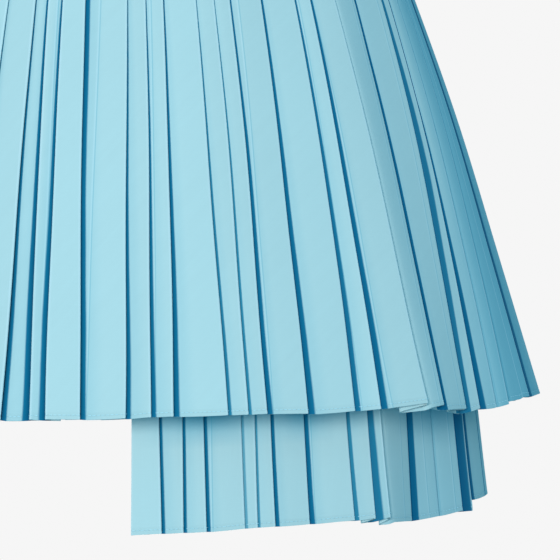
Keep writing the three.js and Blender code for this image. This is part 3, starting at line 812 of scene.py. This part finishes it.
def cloth_material(name, has_folds=True):
    """Light aqua plain weave: faint slubs along the cut, painted shade in the creases, painted highlights on
    the pressed edges.
    """
    shader = Shader(name, Sheen_Weight=0.1, Sheen_Roughness=0.5, Sheen_Tint=(0.4, 0.85, 1, 1),
                    Specular_IOR_Level=0.12)
    across, down = shader.cut()
    solid = shader.node("ShaderNodeTexCoord", output="Object")
    slub = shader.noise(shader.vector(across * 1500, down * 40), 1.0, 3.0)
    weft = shader.noise(shader.vector(across * 60, down * 1800, 7.0), 1.0, 2.0)
    mottle = shader.noise(solid, 14.0, 3.0)
    streak = shader.noise(shader.vector(across * 150, down * 5, 11.0), 1.0, 2.0)
    level = 0.935 + slub * 0.035 + weft * 0.03 + mottle * 0.05 + streak * 0.04
    if has_folds:
        hem = shader.attribute("hem")
        level = level + shader.attribute("tone") * 0.022
        # Painted shade along the hem's stitch line, and the cloth a little darker in the lowest 4.6 mm, over
        # the turned-up hem
        level = level - shader.band(hem, 2.0, 2.3, 2.6, 2.9) * 0.12 - shader.step(hem, 4.6, 4.2) * 0.03
    colour = shader.scaled(AQUA, level)
    if has_folds:
        crest, shade = shader.attribute("crest"), shader.attribute("shade")
        press, ink = shader.attribute("press"), shader.attribute("ink")
        crease = shader.attribute("crease") + (mottle - 0.5) * 0.25
        # Colour of the painted shade in a crease: darkest at the crease, paler towards its band's edge and
        # for a lighter crease
        deep = shader.mix(shader.step(crease, 0.2, 1.0) * 0.55, PAINTED_CREASE_SHADE_DEEP, PAINTED_CREASE_SHADE_EDGE)
        deep = shader.mix(ink, PAINTED_SHADE_AQUA, deep)
        # Painted light and shade over the plain colour, from the first laid down to the last: how much of
        # each, and its colour
        for share, layer in (
            # painted shade on the faces turned away from the light
            (shade * 0.9, PAINTED_SHADE_AQUA),
            # deeper painted shade on the face turned farthest away
            (shader.step(shade, 0.78, 0.98) * 0.9, PAINTED_SHADE_FAR_SIDE),
            # painted highlight along each fold edge's crest
            (shader.step(crest, 1.1, 0.3) * 0.4, PAINTED_HIGHLIGHT_AQUA),
            # a pressed line: a thin line of painted shade, and a thin line of painted highlight beside it
            (shader.band(press, -0.5, -0.1, 0.1, 0.5) * 0.38, PAINTED_SHADE_AQUA),
            (shader.band(press, 0.3, 0.7, 0.9, 1.6) * 0.4, PAINTED_HIGHLIGHT_AQUA),
            # painted shadow under the upper hem, on the under-tier
            (shader.attribute("hem_shadow"), PAINTED_SHADOW_UNDER_HEM),
            # soft painted shade spreading out from each crease
            (shader.step(crease, 3.5, 1.0) * ink * 0.18, PAINTED_SHADE_AQUA),
            # painted shade in the crease beside the face turned farthest away
            (shader.step(crease, 2.2, 0.9) * shader.step(shade, 0.85, 0.98) * 0.75, PAINTED_CREASE_SHADE_EDGE),
            # painted shade deep in each crease
            (shader.step(crease, 1.12, 0.82) * shader.step(ink, 0.0, 0.7), deep),
        ):
            colour = shader.mix(share, colour, layer)
    turn = 2 * math.pi / WEAVE_PITCH
    weave = (across * turn).sine() * (down * turn).sine()
    threads = shader.bump(weave * 0.5 + slub * 0.8 + weft * 0.8, 0.035 * MM, 0.7)
    crumple = shader.noise(shader.vector(across * 9, down * 5, 3.0), 1.0, 2.5, 0.55)
    normal = shader.bump(crumple, 1.2 * MM, 0.55, threads)
    return shader.finish(Base_Color=colour, Roughness=0.74 + mottle * 0.12, Normal=normal)


def thread_material():
    shader = Shader("thread", Specular_IOR_Level=0.35)
    solid = shader.node("ShaderNodeTexCoord", output="Object")
    ply = shader.noise(solid, 2600.0, 1.0)
    colour = shader.scaled(THREAD, 0.9 + ply * 0.2)
    normal = shader.bump(ply, 0.05 * MM, 0.6)
    return shader.finish(Base_Color=colour, Roughness=0.5 + ply * 0.2, Normal=normal)


def tape_material():
    """Twill tape of the zip: fine slanting ribs."""
    shader = Shader("zip_tape", Specular_IOR_Level=0.3)
    across, down = shader.cut()
    ribs = ((across + down) * (2 * math.pi / RIB_PITCH)).sine()
    fuzz = shader.noise(shader.vector(across * 900, down * 900), 1.0, 2.0)
    colour = shader.scaled(TAPE, 0.9 + ribs * 0.05 + fuzz * 0.12)
    return shader.finish(Base_Color=colour, Roughness=0.82 + fuzz * 0.1,
                         Normal=shader.bump(ribs * 0.6 + fuzz * 0.5, 0.12 * MM, 0.8))


def metal_material(name, colour, metal):
    """Lacquered zip metal: small dents, and a little bare shine where it is rubbed."""
    shader = Shader(name, Specular_IOR_Level=0.5)
    solid = shader.node("ShaderNodeTexCoord", output="Object")
    dents = shader.noise(solid, 900.0, 2.0)
    wear = shader.noise(solid, 240.0, 3.0, 0.65)
    tint = shader.scaled(colour, 0.86 + wear * 0.28)
    return shader.finish(Base_Color=tint, Roughness=0.24 + wear * 0.22, Metallic=metal,
                         Normal=shader.bump(dents, 0.04 * MM, 0.5))


cloth = cloth_material("pleated_cloth")
band_cloth = cloth_material("band_cloth", has_folds=False)
thread = thread_material()
tape = tape_material()
lacquer = metal_material("zip_lacquer", LACQUER, 0.55)


def hem_wall(drop, length):
    """Thickness of the cloth on its inner side, at each row: its hem is turned up and stitched."""
    above = length - drop
    fold = np.clip((HEM_FOLD + HEM_STEP - above) / HEM_STEP, 0, 1)
    return CLOTH / 2 + (HEM_THICKNESS - CLOTH) * fold


def dress_panel(name, panel):
    """One pleated panel as a shell with its stitched hem, and the stitches as a piece of their own."""
    drop, grid, values = panel_grid(panel)
    above = panel.tier.length - drop
    dent = HEM_DENT[0] * bell(above, HEM_STITCH, HEM_DENT[1])
    puff = HEM_PUFF[0] * bell(above, HEM_PUFF_PLACE, HEM_PUFF[1])
    outer = (CLOTH / 2 - dent + puff)[:, None, None]
    inner = hem_wall(drop, panel.tier.length)[:, None, None]
    walked = path_lengths(grid)
    slant = slant_lengths(grid)
    uv = together(walked, slant[:, None])
    shape = values["crease"].shape
    # Inside, the cloth has no painted crease shade, crest highlight or pressed line
    plain = {"crease": FAR, "crest": CREST_WIDTH, "press": FAR}
    inside = {key: np.full(shape, value) for key, value in plain.items()}
    layers = {key: (array, inside.get(key, array)) for key, array in values.items()}
    piece = shell(name + "_cloth", grid, outer, inner, cloth, layers, uv)
    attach(piece, BODY)
    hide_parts(name)
    hem_stitches(name, panel, grid, grid_normals(grid), values["crease"])


def thread_bars(name, middle, along, up, length, radius, material):
    """Many small bars as one mesh: each a six-sided tube that swells and arches in the middle."""
    side = unit(np.cross(up, along))
    swell = STATION_WIDTHS[:, None] * np.sin(AROUND)[None, :]
    height = STATION_WIDTHS[:, None] * np.cos(AROUND)[None, :] + STATION_HEIGHTS[:, None]
    local = together(STATIONS[:, None] * length / 2, swell * radius, height * radius).reshape(-1, 3)
    axes = np.stack([along, side, up], axis=1)
    points = middle[:, None, :] + np.einsum("pk,nkx->npx", local, axes)
    tube = grid_quads(len(STATIONS), len(AROUND), closed=True)
    last = (len(STATIONS) - 1) * len(AROUND)
    ends = np.array([[0, 1, 2, 3], [0, 3, 4, 5], [last + 3, last + 2, last + 1, last],
                     [last + 5, last + 4, last + 3, last]])
    one = np.concatenate([tube[:, ::-1], ends])
    quads = (one[None] + np.arange(len(middle))[:, None, None] * len(local)).reshape(-1, 4)
    return mesh_object(name, points.reshape(-1, 3), quads, material)


def along_line(points, values, spacing):
    """Places at equal spacing along a line of points, its direction there, and values carried along."""
    steps = np.linalg.norm(np.diff(points, axis=0), axis=1)
    walked = np.concatenate([[0], np.cumsum(steps)])
    at = np.arange(spacing / 2, walked[-1], spacing)
    place = np.stack([np.interp(at, walked, column) for column in points.T], axis=1)
    behind = np.stack([np.interp(at - spacing / 4, walked, column) for column in points.T], axis=1)
    carried = np.stack([np.interp(at, walked, column) for column in values.T], axis=1)
    return place, unit(place - behind), carried


def hem_stitches(name, panel, grid, normals, crease):
    """Lockstitch along the hem, on both sides of every face and not inside the folds."""
    above = panel.tier.length - panel.tier.rows()
    row = int(np.argmin(abs(above - HEM_STITCH)))
    extra = np.concatenate([normals[row], crease[row][:, None]], axis=1)
    place, along, carried = along_line(grid[row], extra, STITCH_PITCH)
    seen = carried[:, 3] > STITCH_FROM_CREASE
    place, along, normal = place[seen], along[seen], unit(carried[seen, :3])
    front = place + normal * (CLOTH / 2 - STITCH_SUNK)
    rear = place - normal * (HEM_THICKNESS - CLOTH / 2)
    bars = thread_bars(name + "_stitches", np.concatenate([front, rear]), np.concatenate([along, along]),
                       np.concatenate([normal, -normal]), STITCH_LENGTH, STITCH_RADIUS, thread)
    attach(bars, BODY)


def band_line(out, level, angle):
    """Points of the waistband: on the ring at a level, moved outwards."""
    share = (level + BAND_HEIGHT / 2) / BAND_HEIGHT
    half = UPPER_OUTLINE[0, 1:] + (BAND_TOP_RING - UPPER_OUTLINE[0, 1:]) * share[..., None]
    place = beside_ring(half, angle, out)
    return np.concatenate([place, np.broadcast_to(level, angle.shape)[..., None]], axis=-1)


def make_waistband():
    """A strip folded over at the top: up the outer wall, round a half circle, and down the inner wall."""
    wall = BAND_WALL / 2
    outer = BAND_PROUD - wall
    radius = (outer - BAND_INNER_TOP - wall) / 2
    foot, shoulder = -BAND_HEIGHT / 2 + 0.05 * MM, BAND_HEIGHT / 2 - wall - radius
    rise = foot + (shoulder - foot) * BAND_RISE
    turn = np.radians(np.arange(20, 180, 20))
    drop = rise[::-1]
    inner = np.interp(drop, [foot, shoulder], [BAND_INNER_FOOT + wall, BAND_INNER_TOP + wall])
    out = np.concatenate([np.full(len(rise), outer), outer - radius + radius * np.cos(turn), inner])
    level = np.concatenate([rise, shoulder + radius * np.sin(turn), drop])
    stitched = bell(level - foot, BAND_STITCH, 0.6 * MM)
    facing = np.where(np.arange(len(out)) < len(rise), 1, -1)
    puff = BAND_PUFF * np.sin(np.clip((level - foot) / (shoulder - foot), 0, 1) * math.pi)
    gap = math.pi / 2 - BAND_SLIT / 2 / UPPER_OUTLINE[0, 2]
    angle = np.linspace(-gap, math.pi + gap, BAND_COLUMNS)[None, :]
    ripple = BAND_RIPPLE * np.sin(angle * 31) * np.sin(angle * 7 + 1)
    outward = out[:, None] + facing[:, None] * (puff - BAND_STITCH_DENT * stitched)[:, None] + ripple
    grid = band_line(outward, np.broadcast_to(level[:, None], outward.shape),
                     np.broadcast_to(angle, outward.shape))
    slant = slant_lengths(grid)
    walked = path_lengths(grid).mean(axis=0)
    uv = together(walked[None, :], slant[:, None])
    band = shell("waistband_cloth", grid, -wall, -wall, band_cloth, {}, uv)
    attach(band, BODY)
    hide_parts("waistband")

    line_angle = np.linspace(-gap + 0.02, math.pi + gap - 0.02, 2 * BAND_COLUMNS - 1)
    lines = []
    for way, wall_out in ((1, outer), (-1, BAND_INNER_FOOT + wall)):
        height = np.full(line_angle.shape, foot + BAND_STITCH)
        lean = 0 if way == 1 else BAND_STITCH / BAND_HEIGHT * (BAND_INNER_TOP - BAND_INNER_FOOT)
        surface = band_line(wall_out + lean + way * (wall - BAND_STITCH_DENT), height, line_angle)
        normal = unit(surface - band_line(wall_out + lean - way * MM, height, line_angle))
        lines.append(along_line(surface, normal, STITCH_PITCH))
    place, along, normal = (np.concatenate(parts) for parts in zip(*lines))
    bars = thread_bars("waistband_stitches", place, along, unit(normal), STITCH_LENGTH, STITCH_RADIUS, thread)
    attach(bars, BODY)


def zip_line(drop):
    """The middle of the zip's tape, inside the left side seam."""
    half = smooth_rows(UPPER_OUTLINE, drop)[..., 0]
    inset = ZIP_INSET[0] + (ZIP_INSET[1] - ZIP_INSET[0]) * drop / ZIP_LENGTH
    return np.stack([inset - half, np.zeros_like(drop), CLOTH_TOP - drop], axis=-1)


def make_zip():
    """The tapes as one shell, the coil on them and in the waistband's slit, and the tape behind it there."""
    middle = zip_line(np.linspace(0, ZIP_LENGTH, ZIP_ROWS))
    grid = np.repeat(middle[:, None, :], len(TAPE_ACROSS), axis=1)
    grid[..., 1] -= TAPE_ACROSS
    grid[..., 0] += TAPE_RIDGE[0] * bell(TAPE_ACROSS, 0, TAPE_RIDGE[1])
    slant = slant_lengths(grid)
    uv = together(TAPE_ACROSS[None, :], slant[:, None])
    strip = shell("zip_tapes", grid, TAPE_WALL / 2, TAPE_WALL / 2, tape, {}, uv)
    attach(strip, BODY)
    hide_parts("zip_tape")

    place, down, _ = along_line(middle, middle, COIL_PITCH)
    inward = np.broadcast_to(COIL_FACING, place.shape)
    tilt = np.where(np.arange(len(place)) % 2 == 0, COIL_TILT, -COIL_TILT)[:, None]
    crosswise = unit(np.array([0, 1, 0]) + down * tilt)
    normal = unit(inward - down * np.sum(inward * down, axis=1, keepdims=True))
    coil_in = place + normal * (TAPE_WALL / 2 + COIL_OFF_TAPE)

    level = np.arange(-BAND_HEIGHT / 2 + 1 * MM, SLIDER_FOOT, COIL_PITCH)
    slit = np.full(level.shape, -math.pi / 2)
    coil_out = band_line(SLIT_COIL_OUT, level, slit)
    up = unit(np.array([UPPER_OUTLINE[0, 1] - BAND_TOP_RING[0], 0, BAND_HEIGHT]))
    out = np.broadcast_to(np.array([-up[2], 0, up[0]]), coil_out.shape)
    tilt_out = np.where(np.arange(len(level)) % 2 == 0, SLIT_COIL_TILT, -SLIT_COIL_TILT)[:, None]
    cross_out = unit(np.array([0, 1, 0]) + up * tilt_out)
    bars = thread_bars("zip_coil", np.concatenate([coil_in, coil_out]),
                       np.concatenate([crosswise, cross_out]), np.concatenate([normal, out]),
                       COIL_BAR, COIL_RADIUS, tape)
    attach(bars, BODY)

    backing_level = np.linspace(-BAND_HEIGHT / 2 + 0.5 * MM, BAND_HEIGHT / 2 - 4 * MM, BACKING_ROWS)
    around, level = np.meshgrid(BACKING_ACROSS / UPPER_OUTLINE[0, 2], backing_level)
    backing = band_line(np.full(level.shape, BACKING_OUT), level, -math.pi / 2 + around)
    uv = together(BACKING_ACROSS[None, :], backing_level[:, None])
    tab = shell("zip_tape_top", backing[::-1], TAPE_WALL / 2, TAPE_WALL / 2, tape, {}, uv)
    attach(tab, BODY)


panels = make_panels()
for panel_name, panel in panels.items():
    dress_panel(panel_name, panel)
make_waistband()
make_zip()
for node in ("zip_slider", "zip_pull"):
    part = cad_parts[node]
    part.data.materials.clear()
    part.data.materials.append(lacquer)


# Camera: its place, and where the skirt's axis and the horizon lie in the picture
FOCAL_PIXELS = 3385
FRAME_PIXELS = 560
SENSOR = 36
AXIS_PIXEL = 128
HORIZON_PIXEL = 85.3
CAMERA_PLACE = (0, -2.2, -0.196)

# Floor: the glow is its share out to the clear radius, and grows to 1 at the rim
FLOOR_LEVEL = -1.05
FLOOR_RADIUS = 2.6
FLOOR_CLEAR = 1.2
FLOOR_GLOW = 0.8

# Dome, sky, and the place, width, power and colour of each light
DOME_RADIUS = 9.0
SKY = (0.22, 0.74, 1, 1)
SKY_STRENGTH = 0.5
LIGHT_AIM = (0, 0, -0.25)
LIGHTS = {
    "key": ((-0.6, -3.15, 0.22), 1.3, 76, (1, 0.97, 0.93)),
    "rear": ((-1.2, 2.8, 0.9), 1.6, 50, (1, 1, 1)),
    "side": ((3.0, 0.3, 0.4), 1.6, 6, (1, 1, 1)),
}


def make_camera():
    data = bpy.data.cameras.new("camera")
    data.sensor_width = SENSOR
    data.lens = FOCAL_PIXELS * SENSOR / FRAME_PIXELS
    data.clip_end = 100
    camera = bpy.data.objects.new("camera", data)
    camera.location = CAMERA_PLACE
    across = FRAME_PIXELS / 2 - AXIS_PIXEL
    yaw = math.atan2(across, FOCAL_PIXELS)
    pitch = math.atan2(FRAME_PIXELS / 2 - HORIZON_PIXEL, math.hypot(FOCAL_PIXELS, across))
    camera.rotation_euler = (math.pi / 2 - pitch, 0, -yaw)
    bpy.context.scene.collection.objects.link(camera)
    bpy.context.scene.camera = camera


def area_light(name, place, size, power, colour):
    data = bpy.data.lights.new(name, "AREA")
    data.shape = "DISK"
    data.size = size
    data.energy = power
    data.color = colour
    light = bpy.data.objects.new(name, data)
    light.location = place
    light.rotation_euler = (Vector(LIGHT_AIM) - Vector(place)).to_track_quat("-Z", "Y").to_euler()
    bpy.context.scene.collection.objects.link(light)


def glow_material(name):
    """Plain pale surface that is seen at one brightness."""
    material = bpy.data.materials.new(name)
    material.use_nodes = True
    tree = material.node_tree
    tree.nodes.remove(tree.nodes["Principled BSDF"])
    glow = tree.nodes.new("ShaderNodeEmission")
    glow.inputs["Color"].default_value = (*PALE, 1)
    tree.links.new(glow.outputs[0], tree.nodes["Material Output"].inputs["Surface"])
    return material


def make_floor():
    """A pale round floor, softly lit, that fades into the backdrop at its rim."""
    rows, columns = 20, 64
    radius = np.linspace(0.02, FLOOR_RADIUS, rows)[:, None]
    turn = np.linspace(0, 2 * math.pi, columns, endpoint=False)[None, :]
    points = together(radius * np.cos(turn), radius * np.sin(turn), FLOOR_LEVEL)
    shader = Shader("floor", Roughness=0.9, Specular_IOR_Level=0.1)
    place = shader.node("ShaderNodeTexCoord", output="Object")
    distance = shader.node("ShaderNodeVectorMath", {"operation": "LENGTH"}, {0: place}, output="Value")
    ramp = shader.node("ShaderNodeMapRange", None,
                       {0: distance, 1: FLOOR_CLEAR, 2: FLOOR_RADIUS, 3: FLOOR_GLOW, 4: 1.0})
    shader.put(shader.surface.inputs["Base Color"], (0.8, 0.8, 0.8))
    glow = shader.node("ShaderNodeEmission", None, {"Color": PALE})
    plain = Link(shader, shader.surface.outputs[0])
    blend = shader.node("ShaderNodeMixShader", None, {0: ramp, 1: plain, 2: glow})
    shader.put(shader.output.inputs["Surface"], blend)
    floor = mesh_object("floor", points.reshape(-1, 3), grid_quads(rows, columns, closed=True),
                        shader.material)
    floor.visible_diffuse = False
    floor.visible_glossy = False


def make_studio():
    """A pale dome that only the camera sees, the floor, an even sky, and soft lights on the skirt."""
    rows, columns = 24, 48
    tilt = np.linspace(0, math.pi, rows)[:, None]
    turn = np.linspace(0, 2 * math.pi, columns, endpoint=False)[None, :]
    dome = together(np.sin(tilt) * np.cos(turn), np.sin(tilt) * np.sin(turn), np.cos(tilt)) * DOME_RADIUS
    backdrop = mesh_object("backdrop", dome.reshape(-1, 3), grid_quads(rows, columns, closed=True),
                           glow_material("backdrop"))
    backdrop.visible_diffuse = False
    backdrop.visible_glossy = False
    backdrop.visible_transmission = False
    backdrop.visible_shadow = False
    make_floor()
    world = bpy.data.worlds.new("studio")
    world.use_nodes = True
    world.node_tree.nodes["Background"].inputs["Color"].default_value = SKY
    world.node_tree.nodes["Background"].inputs["Strength"].default_value = SKY_STRENGTH
    bpy.context.scene.world = world
    for name, settings in LIGHTS.items():
        area_light(name, *settings)


make_camera()
make_studio()

bpy.context.scene.view_settings.view_transform = "Standard"
